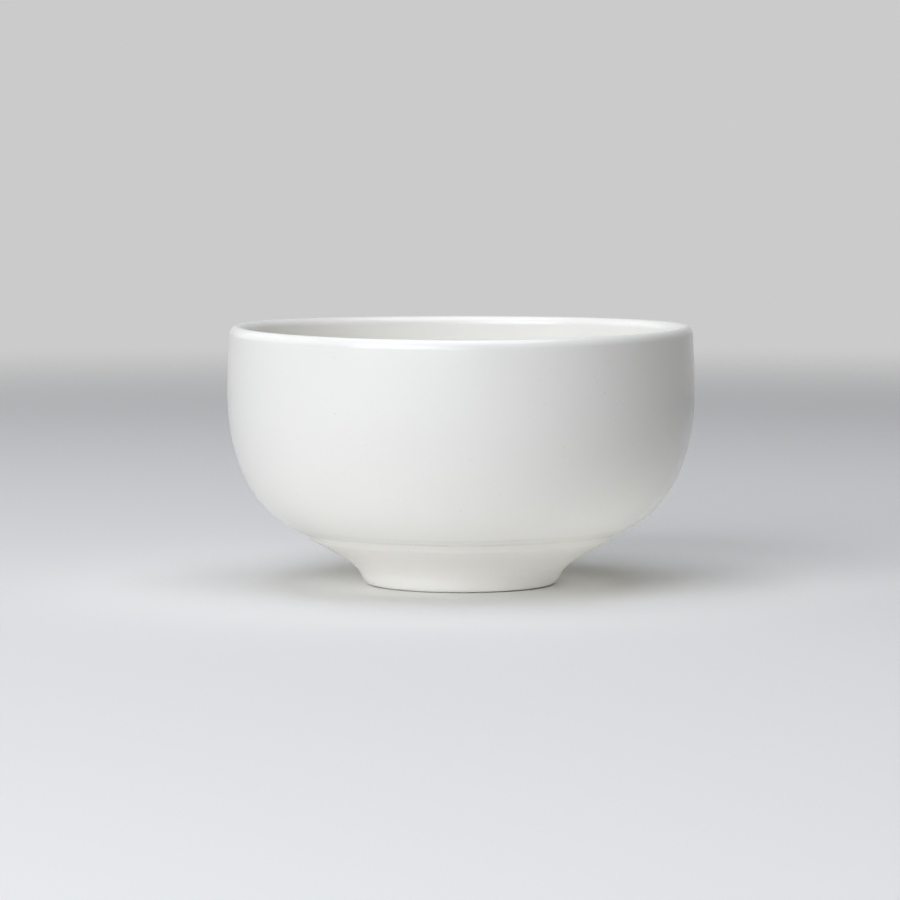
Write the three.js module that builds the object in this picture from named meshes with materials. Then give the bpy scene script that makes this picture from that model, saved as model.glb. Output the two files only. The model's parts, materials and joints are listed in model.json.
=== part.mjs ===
// A footed china bowl, in millimetres, +Z up, standing on z = 0 with its axis on Z.
// It is put together the way such ware is: a turned cup, a flared foot ring, and the band of
// slip (liquid clay) that joins the two before they are glazed and fired.
import * as THREE from "three";

// Cup
const bowlHeight = 70; // table to the crest of the rim
const bellyRadius = 63.5; // widest outer radius
const rimBand = 17; // crest of the rim down to the belly
const rimInset = 0.5; // how far the wall leans in between the belly and the lip
const lipDrop = 4.05; // height of the lip's outer rounding
const lipReach = 1.95; // width of the lip's outer rounding
const wallThickness = 4.15; // from the lip to the belly
const floorThickness = 4.5; // over the slip joint
const flankFullness = 0.515; // share of the flank's height that keeps the belly upright
const hipFullness = 0.695; // share of the flank's width that keeps the hip flat

// Slip joint between the cup and the foot
const jointRadius = 43.3; // rim of the foot, in the corner under the cup
const jointHeight = 14.3; // height of that corner
const jointSlope = THREE.MathUtils.degToRad(22); // slope of the cup's outline there
const slipThickness = 0.5;
const slipBand = 3; // slip that shows above the foot, wiped flush with the cup
const jointClearance = 0.05; // between the slip and each piece that it joins

// Foot ring
const footRadius = 26.9; // outer radius where the skirt ends
const footRoundDrop = 1.9; // height of the foot's outer rounding
const footRoundReach = 2.6; // width of the foot's outer rounding
const standingWidth = 1.8; // flat ring that meets the table
const wellRounding = 1.2; // radius on the foot's inner edge
const wellDraft = 0.7; // how much the well narrows towards the cup
const skirtSlope = THREE.MathUtils.degToRad(44); // where the skirt leaves the joint
const skirtPull = 6; // how far the skirt holds that slope
const waistSlope = THREE.MathUtils.degToRad(70); // where the skirt ends above the rounding
const waistPull = 6; // how far the waist holds that slope

// Facets round the axis, and steps along each stretch of a profile
const turnSegments = 64;
const steps = {
  underside: 7, flank: 12, wall: 3, outerLip: 7, innerLip: 5, // cup
  seat: 5, band: 2, // slip
  skirt: 12, foot: 5, // foot ring
};
const rightAngle = Math.PI / 2;

// Heights and radii that follow from the sizes above
const bellyHeight = bowlHeight - rimBand;
const lipRadius = bellyRadius - rimInset;
const crestRadius = lipRadius - lipReach;
const lipInnerRadius = wallThickness - lipReach;
const dishRadius = jointRadius / Math.sin(jointSlope);
const dishCentre = jointHeight + dishRadius * Math.cos(jointSlope);
const rebateDepth = slipThickness + jointClearance; // the cup is cut back by this to take the slip
const standingOuter = footRadius - footRoundReach;
const standingInner = standingOuter - standingWidth;
const wellRadius = standingInner - wellRounding;
const wellTopRadius = wellRadius - wellDraft;
const wellShare = Math.asin(wellTopRadius / dishRadius) / jointSlope; // of the dish, over the well

const point = (radius, height) => new THREE.Vector2(radius, height);

// Point at a distance along a slope, measured from a starting point.
function alongSlope(start, slope, distance) {
  return point(start.x + distance * Math.cos(slope), start.y + distance * Math.sin(slope));
}

// Points along part of a curve, moved to its left by a distance that changes evenly.
function offsetRun(curve, stepCount, { from = 0, to = 1, start = 0, end = start } = {}) {
  return Array.from({ length: stepCount + 1 }, (_, i) => {
    const share = i / stepCount;
    const at = THREE.MathUtils.lerp(from, to, share);
    const tangent = curve.getTangentAt(at);
    const distance = THREE.MathUtils.lerp(start, end, share);
    return curve.getPointAt(at).add(point(-tangent.y, tangent.x).multiplyScalar(distance));
  });
}

// One profile from several runs of points, without the points that repeat where two runs meet.
function joinRuns(...runs) {
  const nearlySame = 0.01;
  const joined = runs.flat();
  return joined.filter((p, i) => i === 0 || p.distanceTo(joined[i - 1]) > nearlySame);
}

// The bowl's outline below the belly. The dish runs from the axis to the joint, hidden by the foot
// for most of its way, and the flank goes on from there to the belly. The cup's underside, both
// faces of the slip and the foot's seat are all set off from these two curves.
function dishCurve() {
  const downwards = -rightAngle;
  return new THREE.EllipseCurve(0, dishCentre, dishRadius, dishRadius, downwards, downwards + jointSlope);
}

function flankCurve() {
  const joint = point(jointRadius, jointHeight);
  const hipHandle = alongSlope(joint, jointSlope, hipFullness * (bellyRadius - jointRadius));
  const bellyHandle = point(bellyRadius, bellyHeight - flankFullness * (bellyHeight - jointHeight));
  return new THREE.CubicBezierCurve(joint, hipHandle, bellyHandle, point(bellyRadius, bellyHeight));
}

const dish = dishCurve();
const flank = flankCurve();
const bandShare = slipBand / flank.getLength();
const bandClearShare = (slipBand + jointClearance) / flank.getLength();

// Wall from the belly up to a lip, upright where it leaves the belly.
function rimWall(bellyAt, lipAt) {
  const upright = point(bellyAt.x, (bellyAt.y + lipAt.y) / 2);
  return new THREE.QuadraticBezierCurve(bellyAt, upright, lipAt);
}

// The cup: underside cut back for the slip, flank, wall and lip outside, then the same way inside.
function cupProfile() {
  const lipBase = point(lipRadius, bowlHeight - lipDrop);
  const outerWall = rimWall(point(bellyRadius, bellyHeight), lipBase);
  const outerLip = new THREE.EllipseCurve(crestRadius, lipBase.y, lipReach, lipDrop, 0, rightAngle);
  const innerBase = point(lipRadius - wallThickness, bowlHeight - lipInnerRadius);
  const innerLip = new THREE.EllipseCurve(
    crestRadius, innerBase.y, lipInnerRadius, lipInnerRadius, rightAngle, Math.PI);
  const innerWall = rimWall(point(bellyRadius - wallThickness, bellyHeight), innerBase);
  const floorDepth = rebateDepth + floorThickness;
  return joinRuns(
    offsetRun(dish, steps.underside, { start: rebateDepth }),
    offsetRun(flank, steps.band, { to: bandClearShare, start: rebateDepth }),
    offsetRun(flank, steps.flank, { from: bandClearShare }),
    outerWall.getPoints(steps.wall),
    outerLip.getPoints(steps.outerLip),
    innerLip.getPoints(steps.innerLip),
    innerWall.getPoints(steps.wall).reverse(),
    offsetRun(flank, steps.flank, { start: floorDepth, end: wallThickness }).reverse(),
    offsetRun(dish, steps.underside, { start: floorDepth }).reverse(),
  );
}

// The slip: a thin dished ring between foot and cup, with a band above the foot that shows.
function slipProfile() {
  const base = offsetRun(dish, steps.seat, { from: wellShare });
  const band = offsetRun(flank, steps.band, { to: bandShare });
  const bandBack = offsetRun(flank, steps.band, { to: bandShare, start: slipThickness }).reverse();
  const top = offsetRun(dish, steps.seat, { from: wellShare, start: slipThickness }).reverse();
  return joinRuns(base, band, bandBack, top, [base[0]]);
}

// The foot: dished seat on top, flared skirt, rounded edge, standing ring and the wall of the well.
function footProfile() {
  const seat = offsetRun(dish, steps.seat, { from: wellShare, start: -jointClearance });
  const flangeEdge = seat.at(-1);
  const waist = point(footRadius, footRoundDrop);
  const skirt = new THREE.CubicBezierCurve(
    flangeEdge,
    alongSlope(flangeEdge, skirtSlope, -skirtPull),
    alongSlope(waist, waistSlope, waistPull),
    waist,
  );
  const corner = alongSlope(waist, waistSlope, -footRoundDrop / Math.sin(waistSlope));
  const outerRounding = new THREE.QuadraticBezierCurve(waist, corner, point(standingOuter, 0));
  const innerRounding = new THREE.EllipseCurve(
    standingInner, wellRounding, wellRounding, wellRounding, -rightAngle, -Math.PI, true);
  return joinRuns(
    seat.reverse(),
    innerRounding.getPoints(steps.foot).reverse(),
    outerRounding.getPoints(steps.foot).reverse(),
    skirt.getPoints(steps.skirt).reverse(),
  );
}

const china = { color: 0xf1f0eb, roughness: 0.22, metalness: 0 };
const slipClay = { color: 0xebe8df, roughness: 0.3, metalness: 0 };

// A profile turned about the Z axis, as one closed mesh.
function turnedMesh(name, profile, finish) {
  const geometry = new THREE.LatheGeometry(profile, turnSegments).rotateX(rightAngle);
  const mesh = new THREE.Mesh(geometry, new THREE.MeshStandardMaterial(finish));
  mesh.name = name;
  return mesh;
}

const bowl = new THREE.Group();
bowl.add(
  turnedMesh("bowl_body", cupProfile(), china),
  turnedMesh("slip_joint", slipProfile(), slipClay),
  turnedMesh("foot_ring", footProfile(), china),
);

export default bowl;
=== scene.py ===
import bpy
import json
from math import atan, atan2, cos, pi, radians, sin, tan
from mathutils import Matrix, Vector


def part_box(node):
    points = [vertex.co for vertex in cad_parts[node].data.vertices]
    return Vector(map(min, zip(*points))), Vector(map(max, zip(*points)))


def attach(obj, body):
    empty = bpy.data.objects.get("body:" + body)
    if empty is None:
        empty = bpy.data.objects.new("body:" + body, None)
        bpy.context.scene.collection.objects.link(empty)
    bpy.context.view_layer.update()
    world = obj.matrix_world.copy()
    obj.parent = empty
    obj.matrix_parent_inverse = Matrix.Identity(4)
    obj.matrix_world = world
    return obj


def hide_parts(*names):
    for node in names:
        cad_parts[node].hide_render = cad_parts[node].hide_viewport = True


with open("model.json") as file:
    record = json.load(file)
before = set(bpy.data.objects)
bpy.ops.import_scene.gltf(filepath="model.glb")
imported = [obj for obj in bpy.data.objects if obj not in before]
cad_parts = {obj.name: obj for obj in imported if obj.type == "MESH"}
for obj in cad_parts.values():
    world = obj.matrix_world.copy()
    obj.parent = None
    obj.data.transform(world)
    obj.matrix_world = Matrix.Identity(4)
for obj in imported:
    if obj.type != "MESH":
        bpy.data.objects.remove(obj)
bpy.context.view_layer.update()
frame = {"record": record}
mm = 0.001  # outlines are written in millimetres, Blender works in metres

scene = bpy.context.scene
scene.view_settings.view_transform = "Standard"

# Sizes that the looks share with the CAD pieces
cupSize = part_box("bowl_body")[1] / mm
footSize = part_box("foot_ring")[1] / mm
ringMount = Vector(frame["record"]["mounts"][0]["pos_m"]) / mm
bellyRadius, rimHeight = cupSize.x, cupSize.z
jointRadius, jointHeight = footSize.x, footSize.z  # corner between cup and foot
jointSlope = 22  # slope of the seat at that corner, degrees
dishRadius = jointRadius / sin(radians(jointSlope))
dishCentre = jointHeight + dishRadius * cos(radians(jointSlope))
quarterPull = 0.5523  # handle of a quarter ellipse, as a share of its half axis
print("frame: bowl %.1f mm wide, %.1f mm high" % (2 * bellyRadius, rimHeight))


def polar(length, heading):  # step in the plane of an outline, heading in degrees
    return Vector((length * cos(radians(heading)), length * sin(radians(heading))))


def knot(at, heading, back=0.0, ahead=0.0, turn=0.0):  # turn is how sharply a corner bends
    at = Vector(at)
    return {"at": at, "back": at - polar(back, heading), "ahead": at + polar(ahead, heading + turn)}


def dishPoint(depth, slope):  # on the arc under the bowl, moved up into the clay
    reach = polar(dishRadius - depth, slope - 90)
    return Vector((reach.x, dishCentre + reach.y))


def dishHandle(depth, sweep):  # handle length that draws a circle's arc
    return 4 / 3 * tan(radians(sweep) / 4) * (dishRadius - depth)


def splitCurve(first, last, share):  # knots of the rest of a curve, past a share of it
    a = first["at"].lerp(first["ahead"], share)
    b = first["ahead"].lerp(last["back"], share)
    c = last["back"].lerp(last["at"], share)
    d = a.lerp(b, share)
    e = b.lerp(c, share)
    return {"at": d.lerp(e, share), "back": d, "ahead": e}, {**last, "back": c}


def intoClay(spot, slope, depth):  # in from the surface, where the outline rises at this slope
    return spot + polar(depth, slope + 90)


def bearingOf(spot):  # angle round the axis, from the front
    return atan2(spot.x, -spot.y)


# The wheel: each outline is drawn as a curve and spun round the axis
wheel = {
    "steps": 224,
    "merge": 0.002,  # millimetres, points nearer than this become one
    "smoothAngle": 40,  # degrees, a sharper edge stays sharp
}


def turnPiece(name, knots, closed, curveSteps):
    bpy.ops.object.select_all(action="DESELECT")
    bpy.ops.curve.primitive_bezier_curve_add(location=(0, 0, 0))
    piece = bpy.context.object
    piece.name = name
    piece.data.resolution_u = curveSteps
    piece.data.dimensions = "3D"
    spline = piece.data.splines[0]
    spline.bezier_points.add(len(knots) - len(spline.bezier_points))
    spline.use_cyclic_u = closed
    for point, spot in zip(spline.bezier_points, knots):
        point.handle_left_type = "FREE"
        point.handle_right_type = "FREE"
        point.co = spot["at"].x * mm, 0, spot["at"].y * mm
        point.handle_left = spot["back"].x * mm, 0, spot["back"].y * mm
        point.handle_right = spot["ahead"].x * mm, 0, spot["ahead"].y * mm
    bpy.ops.object.convert(target="MESH")
    piece = bpy.context.object
    bpy.ops.object.mode_set(mode="EDIT")
    bpy.ops.mesh.select_all(action="SELECT")
    bpy.ops.mesh.remove_doubles(threshold=wheel["merge"] * mm)
    bpy.ops.mesh.spin(steps=wheel["steps"], angle=2 * pi, center=(0, 0, 0), axis=(0, 0, 1))
    bpy.ops.mesh.select_all(action="SELECT")
    bpy.ops.mesh.remove_doubles(threshold=wheel["merge"] * mm)
    bpy.ops.mesh.normals_make_consistent(inside=False)
    bpy.ops.object.mode_set(mode="OBJECT")
    bpy.ops.object.shade_smooth_by_angle(angle=radians(wheel["smoothAngle"]))
    piece.data.name = name
    print("turned %s: %d faces" % (name, len(piece.data.polygons)))
    return piece


# The joint: the band of slip and its two soft lines, shared by cup, slip and foot
joint = {
    "creaseOut": 0.23,  # the fired edge of the foot, out and up from the corner
    "creaseUp": 0.06,
    "bandSlope": 25,  # the slip, wiped nearly flush
    "bandWidth": 3.53,
    "rebate": 0.55,  # how far the cup is cut back under the slip
    "edgeShare": 0.03,  # share of the flank over which the cup rounds into the upper line
    "lineDepth": 0.075,  # upper line, between slip and cup
    "lineSlope": 13,
    "dipAlong": 0.75,  # lower line, in the slip, this far above the foot's edge
    "dipRise": 2,  # degrees by which it stands above the mean of the slopes beside it
    "dipSlope": 9,
    "edgeSlope": 27,  # at the foot's edge itself
    "lap": 0.03,  # pieces run this far into each other, since fired clay has no gap
    "edgeLapTurn": 20,  # degrees from the slope at which the slip laps over the foot's edge
    "lineLapTurn": 45,  # and over the upper line
    "linePlaces": 4,  # the lines stay in front, behind and at the two sides
    "lineFade": 4,  # how soon they fade away from there
}

# The same joint where the sponge wiped the two lines nearly away
flushJoint = {
    **joint,
    "bandSlope": 29,
    "lineDepth": 0.01,
    "lineSlope": 30,
    "dipSlope": 27,
    "edgeSlope": 29,
}

crease = Vector((jointRadius + joint["creaseOut"], jointHeight + joint["creaseUp"]))


def bandTop(seam):
    return crease + polar(seam["bandWidth"], seam["bandSlope"])


def lineSpot(seam):
    return intoClay(bandTop(seam), seam["bandSlope"], seam["lineDepth"])


def turnWiped(name, outline, closed, curveSteps):  # turned with both joints, then blended round the bowl
    piece = turnPiece(name, outline(joint), closed, curveSteps)
    wiped = turnPiece(name + "_wiped", outline(flushJoint), closed, curveSteps)
    for vertex, flat in zip(piece.data.vertices, wiped.data.vertices):
        swing = cos(joint["linePlaces"] / 2 * bearingOf(vertex.co))
        vertex.co = flat.co.lerp(vertex.co, swing ** joint["lineFade"])
    bpy.data.meshes.remove(wiped.data)  # and its object with it
    return piece


# The cup
cup = {
    "curveSteps": 20,  # between two knots of the outline
    "bellyEase": 0.13,  # shrinkage of the belly in the kiln
    "rimBand": 18.5,  # crest down to the widest ring
    "rimInset": 0.55,  # lean of the wall between that ring and the lip
    "lipLean": 93.3,  # heading of the wall under the lip, degrees
    "crestEase": 0.08,  # shrinkage of the height
    "lipDrop": 2.4,  # height and width of the lip's outer rounding
    "lipReach": 1.9,
    "lipPull": 0.5,  # its handles, as a share of these
    "wall": 4.15,
    "innerLean": 271,  # heading of the inner wall under the lip, degrees
    "floor": 4.5,  # over the slip
    "flankSlope": 30.4,  # at the upper line
    "hipPull": 16.3,  # handles of the flank, at that line and at the belly
    "bellyPull": 10.0,
    "innerHipPull": 16.5,  # the same for the inner wall
    "innerBellyPull": 10.3,
    "kilnWarp": 0.27,  # the rim sags by this in front and behind, and rises at the sides
    "warpStart": 20.0,  # height where that sag begins
    "warpGrowth": 1.5,  # power by which it grows from there
}

belly = Vector((bellyRadius - cup["bellyEase"], rimHeight - cup["rimBand"]))
crestHeight = rimHeight - cup["crestEase"]
lipBase = Vector((belly.x - cup["rimInset"], crestHeight - cup["lipDrop"]))
wallPull = (lipBase.y - belly.y) / 3


def cupOutline(seam):
    crest = Vector((lipBase.x - cup["lipReach"], crestHeight))
    inside = cup["wall"] - cup["lipReach"]  # radius of the lip's inner rounding
    innerBase = crest + Vector((-inside, -inside))
    innerBelly = Vector((belly.x - cup["wall"], belly.y))
    innerPull = (innerBase.y - belly.y) / 3
    depth = seam["rebate"] + cup["floor"]
    under = dishHandle(seam["rebate"], jointSlope)
    over = dishHandle(depth, jointSlope)
    rebateTop = intoClay(bandTop(seam), seam["bandSlope"], seam["rebate"])
    seatPull = seam["bandWidth"] / 4
    flankFoot = knot(bandTop(seam), cup["flankSlope"], ahead=cup["hipPull"])
    flankTop = knot(belly, 90, back=cup["bellyPull"], ahead=wallPull)
    lowerEdge, flankEnd = splitCurve(flankFoot, flankTop, seam["edgeShare"])
    edgePull = (lowerEdge["at"] - bandTop(seam)).length / 3
    backLength = (lowerEdge["back"] - lowerEdge["at"]).length
    lowerEdge["back"] = lowerEdge["at"].lerp(lowerEdge["back"], edgePull / backLength)
    return [
        knot(dishPoint(seam["rebate"], 0), 0, ahead=under),
        knot(dishPoint(seam["rebate"], jointSlope), jointSlope, back=under, ahead=seatPull),
        knot(rebateTop, seam["bandSlope"], back=seatPull),
        knot(lineSpot(seam), seam["lineSlope"], ahead=edgePull),
        lowerEdge,
        flankEnd,
        knot(lipBase, cup["lipLean"], back=wallPull, ahead=cup["lipPull"] * cup["lipDrop"]),
        knot(crest, 180, back=cup["lipPull"] * cup["lipReach"], ahead=quarterPull * inside),
        knot(innerBase, cup["innerLean"], back=quarterPull * inside, ahead=innerPull),
        knot(innerBelly, 270, back=innerPull, ahead=cup["innerBellyPull"]),
        knot(dishPoint(depth, jointSlope), 180 + jointSlope, back=cup["innerHipPull"], ahead=over),
        knot(dishPoint(depth, 0), 180, back=over),
    ]


def sagRim(piece):  # fired china is never quite flat: two low places, in front and behind
    for vertex in piece.data.vertices:
        above = vertex.co.z / mm - cup["warpStart"]
        rise = max(0.0, above / (rimHeight - cup["warpStart"]))
        sag = cup["kilnWarp"] * rise ** cup["warpGrowth"] * cos(2 * bearingOf(vertex.co))
        vertex.co.z -= sag * mm


# The foot
foot = {
    "curveSteps": 18,
    "edgePull": 0.39,  # rounding of the fired edge
    "beadSlope": 39,  # narrow face under that edge, a little steeper at its foot
    "beadWidth": 2.95,
    "beadPull": 1.3,
    "beadFootSlope": 42,
    "skirtSlope": 31,
    "skirtPull": 5.6,
    "waist": (27.38, 2.87),  # radius and height where the toe begins
    "waistSlope": 63.2,
    "waistPull": 4.43,
    "toeDrop": 1.19,  # handles of the toe's rounding
    "toeReach": 1.42,
    "standingOut": 1.18,  # bare ring, out and in from the mount's point
    "standingIn": 0.9,
    "wellRound": 1.2,  # rounding on the inner edge
    "wellDraft": 0.7,  # how much the well narrows upwards
    "wellPull": 2.0,
}

standingOuter = ringMount.x + foot["standingOut"]
standingInner = ringMount.x - foot["standingIn"]
wellRadius = standingInner - foot["wellRound"]
wellTop = wellRadius - foot["wellDraft"]
wellSlope = jointSlope * wellTop / jointRadius  # slope of the dish over the wall of the well


def footOutline(seam):
    beadEnd = crease - polar(foot["beadWidth"], foot["beadSlope"])
    edgeTurn = 180 + seam["edgeSlope"] - jointSlope  # from the seat round to the outside
    skirtTurn = foot["skirtSlope"] - foot["beadFootSlope"]
    bend = quarterPull * foot["wellRound"]
    seat = dishHandle(0, jointSlope - wellSlope)
    return [
        knot(dishPoint(0, wellSlope), wellSlope, ahead=seat),
        knot(crease, jointSlope, back=seat, turn=edgeTurn, ahead=foot["edgePull"]),
        knot(beadEnd, foot["beadFootSlope"] + 180, back=foot["beadPull"],
             turn=skirtTurn, ahead=foot["skirtPull"]),
        knot(foot["waist"], foot["waistSlope"] + 180, back=foot["waistPull"], ahead=foot["toeDrop"]),
        knot((standingOuter, 0), 180, back=foot["toeReach"]),
        knot((standingInner, 0), 180, ahead=bend),
        knot((wellRadius, foot["wellRound"]), 90, back=bend, ahead=foot["wellPull"]),
    ]


# The slip: a thin dished ring, a band that shows above the foot and a fillet in the well
slip = {
    "curveSteps": 14,
    "thickness": 0.5,
    "fillet": 1.3,  # slip squeezed out into the well
    "filletPull": 0.6,  # its handles, as a share of its size
    "filletSweep": 0.7,  # degrees of the dish that it covers
    "filletLean": 268,  # its heading down the wall of the well, degrees
    "white": "#f0eee7",  # a little greyer than the china, as is the cloud below: painted shade that darkens the band between its two lines
    "cloud": "#ebe9e1",
}


def slipOutline(seam):
    lap = seam["lap"]
    slope = seam["bandSlope"]
    thick = slip["thickness"] + 2 * lap
    seat = dishHandle(0, jointSlope - wellSlope)
    seatPull = seam["bandWidth"] / 4
    edge = crease + polar(lap, seam["edgeSlope"] + seam["edgeLapTurn"])
    dipHeading = (seam["edgeSlope"] + seam["dipSlope"]) / 2 + seam["dipRise"]
    dip = crease + polar(seam["dipAlong"], dipHeading)
    dipPull = seam["dipAlong"] / 3
    crownPull = (lineSpot(seam) - dip).length / 3
    line = lineSpot(seam) + polar(lap, seam["lineSlope"] + seam["lineLapTurn"])
    bandBack = intoClay(bandTop(seam), slope, thick) + polar(lap, slope)
    ceiling = dishPoint(seam["rebate"] + lap, wellSlope - slip["filletSweep"])
    wallFoot = Vector((wellTop + lap, dishPoint(0, wellSlope).y - slip["fillet"]))
    filletPull = slip["filletPull"] * slip["fillet"]
    return [
        knot(dishPoint(-lap, wellSlope), wellSlope, ahead=seat),
        knot(crease - polar(lap, jointSlope), jointSlope, back=seat),
        knot(edge, seam["edgeSlope"], ahead=dipPull),
        knot(dip, seam["dipSlope"], back=dipPull, ahead=crownPull),
        knot(line, seam["lineSlope"], back=crownPull),
        knot(bandBack, slope + 180, ahead=seatPull),
        knot(dishPoint(thick, jointSlope), jointSlope + 180, back=seatPull, ahead=seat),
        knot(dishPoint(thick, wellSlope), wellSlope + 180, back=seat),
        knot(ceiling, wellSlope + 180, turn=180, ahead=filletPull),
        knot(wallFoot, slip["filletLean"], back=filletPull),
    ]


glazedCup = turnWiped("glazed_cup", cupOutline, False, cup["curveSteps"])
sagRim(glazedCup)
slipBand = turnWiped("slip_band", slipOutline, True, slip["curveSteps"])
glazedFoot = turnWiped("glazed_foot", footOutline, True, foot["curveSteps"])

for piece, node, slot in (
    (glazedCup, "bowl_body", "glazed_china"),
    (slipBand, "slip_joint", "glazed_slip"),
    (glazedFoot, "foot_ring", "glazed_china"),
):
    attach(piece, "root")
    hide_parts(node)


def linearColour(hexText):  # sRGB hex to the linear colour that the nodes take
    channels = [int(hexText[i:i + 2], 16) / 255 for i in (1, 3, 5)]
    return [c / 12.92 if c <= 0.04045 else ((c + 0.055) / 1.055) ** 2.4 for c in channels] + [1.0]


def addNode(tree, kind, inputs, **settings):  # inputs take a value, or another node's socket
    node = tree.nodes.new(kind)
    for name, value in settings.items():
        setattr(node, name, value)
    for name, value in inputs.items():
        if isinstance(value, bpy.types.NodeSocket):
            tree.links.new(value, node.inputs[name])
        else:
            node.inputs[name].default_value = value
    return node


def newMaterial(name):
    material = bpy.data.materials.new(name)
    material.use_nodes = True
    tree = material.node_tree
    tree.nodes.clear()
    spot = addNode(tree, "ShaderNodeTexCoord", {}).outputs["Object"]
    return material, tree, spot


# Vitrified china, jiggered and dipped in clear glaze: an even milk white with soft gloss, a few
# pinhead iron specks under the glaze and the faint orange peel of a melted coat
glaze = {
    "white": "#f2f0ea",
    "cloud": "#efede6",  # where the coat is thicker
    "cloudSize": 14.0,  # millimetres
    "cloudDetail": 3.0,
    "cloudGrain": 0.6,  # how much the finer steps of the noise count
    "cloudRange": (0.3, 0.7),  # stretch of the noise over which the gloss changes
    "roughness": (0.17, 0.24),
    "ior": 1.5,
    "speck": "#8f887c",
    "speckSpacing": 2.7,  # millimetres, as the next
    "speckRadius": 0.2,
    "speckCore": 0.5,  # share of the radius that is darkest
    "speckSkip": 0.2,  # share of the places that stay clean
    "speckStrength": 0.4,
    "peelSize": 2.6,  # millimetres, as the next
    "peelHeight": 0.006,
}


def glazedChina(name, white, cloud):
    material, tree, spot = newMaterial(name)
    clouds = addNode(tree, "ShaderNodeTexNoise", {
        "Vector": spot, "Scale": 1 / (glaze["cloudSize"] * mm),
        "Detail": glaze["cloudDetail"], "Roughness": glaze["cloudGrain"]})
    body = addNode(tree, "ShaderNodeMix", {
        0: clouds.outputs["Fac"], 6: linearColour(white), 7: linearColour(cloud)}, data_type="RGBA")
    cells = addNode(tree, "ShaderNodeTexVoronoi", {
        "Vector": spot, "Scale": 1 / (glaze["speckSpacing"] * mm)})
    radius = glaze["speckRadius"] / glaze["speckSpacing"]
    dots = addNode(tree, "ShaderNodeMapRange", {
        "Value": cells.outputs["Distance"], "From Min": radius * glaze["speckCore"], "From Max": radius,
        "To Min": 1.0, "To Max": 0.0})
    chance = addNode(tree, "ShaderNodeSeparateColor", {"Color": cells.outputs["Color"]})
    fainter = addNode(tree, "ShaderNodeMapRange", {
        "Value": chance.outputs[0], "From Min": glaze["speckSkip"], "To Max": glaze["speckStrength"]})
    speckShare = addNode(tree, "ShaderNodeMath", {
        0: dots.outputs[0], 1: fainter.outputs[0]}, operation="MULTIPLY")
    colour = addNode(tree, "ShaderNodeMix", {
        0: speckShare.outputs[0], 6: body.outputs[2], 7: linearColour(glaze["speck"])}, data_type="RGBA")
    gloss = addNode(tree, "ShaderNodeMapRange", {
        "Value": clouds.outputs["Fac"],
        "From Min": glaze["cloudRange"][0], "From Max": glaze["cloudRange"][1],
        "To Min": glaze["roughness"][0], "To Max": glaze["roughness"][1]})
    peel = addNode(tree, "ShaderNodeTexNoise", {"Vector": spot, "Scale": 1 / (glaze["peelSize"] * mm)})
    bump = addNode(tree, "ShaderNodeBump", {
        "Height": peel.outputs["Fac"], "Distance": glaze["peelHeight"] * mm, "Strength": 1.0})
    shader = addNode(tree, "ShaderNodeBsdfPrincipled", {
        "Base Color": colour.outputs[2], "Roughness": gloss.outputs[0],
        "Normal": bump.outputs[0], "IOR": glaze["ior"]})
    addNode(tree, "ShaderNodeOutputMaterial", {"Surface": shader.outputs[0]})
    return material


# Bare vitrified china where the glaze was wiped off to stand in the kiln: matt, creamier and gritty
bareRing = {
    "clay": "#ded7c9",
    "scuff": "#a9a499",  # grey rubbed on by tables
    "scuffSize": 3.0,  # millimetres
    "scuffDetail": 5.0,
    "scuffRange": (0.52, 0.8),  # stretch of the noise over which scuffs show
    "scuffStrength": 0.7,
    "gritSize": 0.35,  # millimetres, as the next
    "gritHeight": 0.02,
    "gritDetail": 4.0,
    "roughness": 0.7,
    "ior": 1.5,
    "wipedHeight": 0.05,  # millimetres up the roundings to where the glaze was wiped
}


def bareChina():
    material, tree, spot = newMaterial("bare_china_ground_smooth")
    grit = addNode(tree, "ShaderNodeTexNoise", {
        "Vector": spot, "Scale": 1 / (bareRing["gritSize"] * mm), "Detail": bareRing["gritDetail"]})
    rubbed = addNode(tree, "ShaderNodeTexNoise", {
        "Vector": spot, "Scale": 1 / (bareRing["scuffSize"] * mm), "Detail": bareRing["scuffDetail"]})
    share = addNode(tree, "ShaderNodeMapRange", {
        "Value": rubbed.outputs["Fac"], "From Min": bareRing["scuffRange"][0],
        "From Max": bareRing["scuffRange"][1], "To Max": bareRing["scuffStrength"]})
    colour = addNode(tree, "ShaderNodeMix", {
        0: share.outputs[0], 6: linearColour(bareRing["clay"]), 7: linearColour(bareRing["scuff"])},
        data_type="RGBA")
    bump = addNode(tree, "ShaderNodeBump", {
        "Height": grit.outputs["Fac"], "Distance": bareRing["gritHeight"] * mm, "Strength": 1.0})
    shader = addNode(tree, "ShaderNodeBsdfPrincipled", {
        "Base Color": colour.outputs[2], "Roughness": bareRing["roughness"],
        "Normal": bump.outputs[0], "IOR": bareRing["ior"]})
    addNode(tree, "ShaderNodeOutputMaterial", {"Surface": shader.outputs[0]})
    return material


chinaGlaze = glazedChina("clear_glaze_on_white_china", glaze["white"], glaze["cloud"])
slipGlazeWithPaintedShade = glazedChina("clear_glaze_on_slip_with_painted_shade", slip["white"], slip["cloud"])  # the greyer slip paints shade into the band, so its two lines show
glazedCup.data.materials.append(chinaGlaze)
slipBand.data.materials.append(slipGlazeWithPaintedShade)
glazedFoot.data.materials.append(chinaGlaze)
glazedFoot.data.materials.append(bareChina())
for face in glazedFoot.data.polygons:
    if face.center.z < bareRing["wipedHeight"] * mm:
        face.material_index = 1
print("materials on")

# Stage: a matt painted board, pale and without shine, that takes a soft shadow and fades into the
# backdrop far from the bowl
stage = {
    "floorRadius": 1.2,  # metres, as the next two
    "fadeFrom": 0.6,
    "fadeTo": 1.15,
    "floorSides": 128,
    "floor": "#e8e7e3",  # as the camera sees it
    "floorBounce": "#cbcac7",  # as it throws light back on the bowl
    "backdrop": "#cbcbcb",
}


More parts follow.
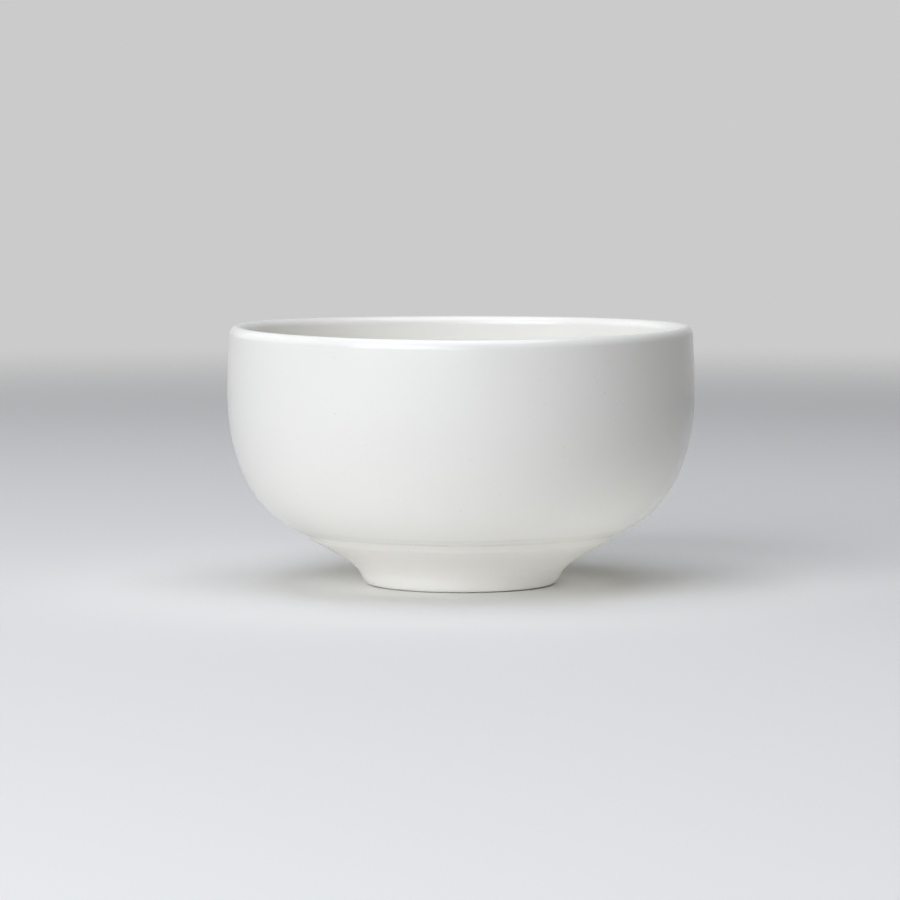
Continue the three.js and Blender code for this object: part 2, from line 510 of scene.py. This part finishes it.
def seenDirectly(tree):  # 1 for what the camera sees, also mirrored in the glaze
    rays = addNode(tree, "ShaderNodeLightPath", {})
    seen = addNode(tree, "ShaderNodeMath", {
        0: rays.outputs["Is Camera Ray"], 1: rays.outputs["Is Glossy Ray"]}, operation="MAXIMUM")
    shown = addNode(tree, "ShaderNodeMath", {
        0: seen.outputs[0], 1: rays.outputs["Is Transmission Ray"]}, operation="MAXIMUM")
    return shown.outputs[0]


def layFloor():
    bpy.ops.object.select_all(action="DESELECT")
    bpy.ops.mesh.primitive_circle_add(
        vertices=stage["floorSides"], radius=stage["floorRadius"], fill_type="NGON")
    floor = bpy.context.object
    floor.name = "floor"
    material, tree, spot = newMaterial("matt_painted_board")
    reach = addNode(tree, "ShaderNodeVectorMath", {0: spot}, operation="LENGTH")
    fade = addNode(tree, "ShaderNodeMapRange", {
        "Value": reach.outputs["Value"], "From Min": stage["fadeFrom"], "From Max": stage["fadeTo"]},
        interpolation_type="SMOOTHSTEP")
    colour = addNode(tree, "ShaderNodeMix", {
        0: seenDirectly(tree), 6: linearColour(stage["floorBounce"]), 7: linearColour(stage["floor"])},
        data_type="RGBA")
    paint = addNode(tree, "ShaderNodeBsdfDiffuse", {"Color": colour.outputs[2]})
    clear = addNode(tree, "ShaderNodeBsdfTransparent", {})
    mixed = addNode(tree, "ShaderNodeMixShader", {
        0: fade.outputs[0], 1: paint.outputs[0], 2: clear.outputs[0]})
    addNode(tree, "ShaderNodeOutputMaterial", {"Surface": mixed.outputs[0]})
    floor.data.materials.append(material)


def hangBackdrop():
    world = bpy.data.worlds.new("studio")
    world.use_nodes = True
    scene.world = world
    tree = world.node_tree
    tree.nodes.clear()
    dark = addNode(tree, "ShaderNodeBackground", {"Strength": 0.0})  # all light comes from the lamps
    paper = addNode(tree, "ShaderNodeBackground", {
        "Color": linearColour(stage["backdrop"]), "Strength": 1.0})
    mixed = addNode(tree, "ShaderNodeMixShader", {
        0: seenDirectly(tree), 1: dark.outputs[0], 2: paper.outputs[0]})
    addNode(tree, "ShaderNodeOutputWorld", {"Surface": mixed.outputs[0]})


# Softboxes: bearing is degrees round from the camera's side, to the right, and height is degrees
# above level, both as seen from the middle of the bowl; far and size are metres
bowlMiddle = Vector((0, 0, rimHeight / 2 * mm))
daylight = "#f4f7ff"
lamps = {
    "key": {"bearing": -34, "height": 32, "far": 1.5, "size": (1.15, 0.75), "watts": 9.4},
    "lowFill": {"bearing": -25, "height": 14, "far": 1.5, "size": (1.6, 0.3), "watts": 8.9},
    "overhead": {"bearing": 0, "height": 86.5, "far": 1.3, "size": (1.25, 1.3), "watts": 12.5},
    "leftBack": {"bearing": -118, "height": 22, "far": 1.5, "size": (1.5, 1.0), "watts": 3.5},
}

# White cards just over the floor throw light up under the hip; the small one is on the shadow side
cardTint = "#f9fbfd"
cardFar = 0.0349  # metres from the middle of the bowl down to the cards
cards = {
    "card": {"bearing": 0, "height": -90, "far": cardFar, "size": (0.19, 0.19), "watts": 0.035},
    "sideCard": {"bearing": 0, "height": -90, "far": cardFar, "size": (0.06, 0.16), "watts": 0.0065,
                 "aside": 0.06},  # to the right
}


def hangLamp(name, lamp, tint, shine):  # shine is whether the glaze mirrors it
    flat = polar(lamp["far"] * cos(radians(lamp["height"])), lamp["bearing"] - 90)
    aim = bowlMiddle + Vector((lamp.get("aside", 0), 0, 0))
    place = aim + Vector((flat.x, flat.y, lamp["far"] * sin(radians(lamp["height"]))))
    turn = (aim - place).to_track_quat("-Z", "Y").to_euler()
    bpy.ops.object.light_add(type="AREA", location=place, rotation=turn)
    softbox = bpy.context.object
    softbox.name = name
    softbox.data.shape = "RECTANGLE"
    softbox.data.size, softbox.data.size_y = lamp["size"]
    softbox.data.energy = lamp["watts"]
    softbox.data.color = linearColour(tint)[:3]
    softbox.visible_camera = False
    softbox.visible_glossy = shine
    softbox.data.cycles.use_multiple_importance_sampling = shine  # else a dark patch shows in its place


layFloor()
hangBackdrop()
for name, lamp in lamps.items():
    hangLamp(name, lamp, daylight, True)
for name, lamp in cards.items():
    hangLamp(name, lamp, cardTint, False)

# Camera: a long lens, a little above the rim, aimed so that the bowl stands right of the middle
view = {
    "aimHeight": 35.0,  # millimetres, on the axis
    "distance": 1.25,  # metres
    "above": 4.656,  # degrees
    "focalPixels": 4600.0,  # focal length, in pixels of the picture
    "imageSide": 900.0,
    "aimColumn": 461.0,  # where the aim lands in the picture
    "aimRow": 454.7,
    "sensor": 36.0,  # millimetres
}


def setCamera():
    tilt = radians(view["above"])
    aim = Vector((0, 0, view["aimHeight"] * mm))
    pan = atan((view["aimColumn"] - view["imageSide"] / 2) / view["focalPixels"])
    lift = atan((view["aimRow"] - view["imageSide"] / 2) / view["focalPixels"])
    place = aim + view["distance"] * Vector((0, -cos(tilt), sin(tilt)))
    bpy.ops.object.camera_add(location=place, rotation=(pi / 2 - tilt + lift, 0, pan))
    camera = bpy.context.object
    camera.data.sensor_width = view["sensor"]
    camera.data.lens = view["focalPixels"] * view["sensor"] / view["imageSide"]
    scene.camera = camera


setCamera()
print("stage, lamps and camera set")
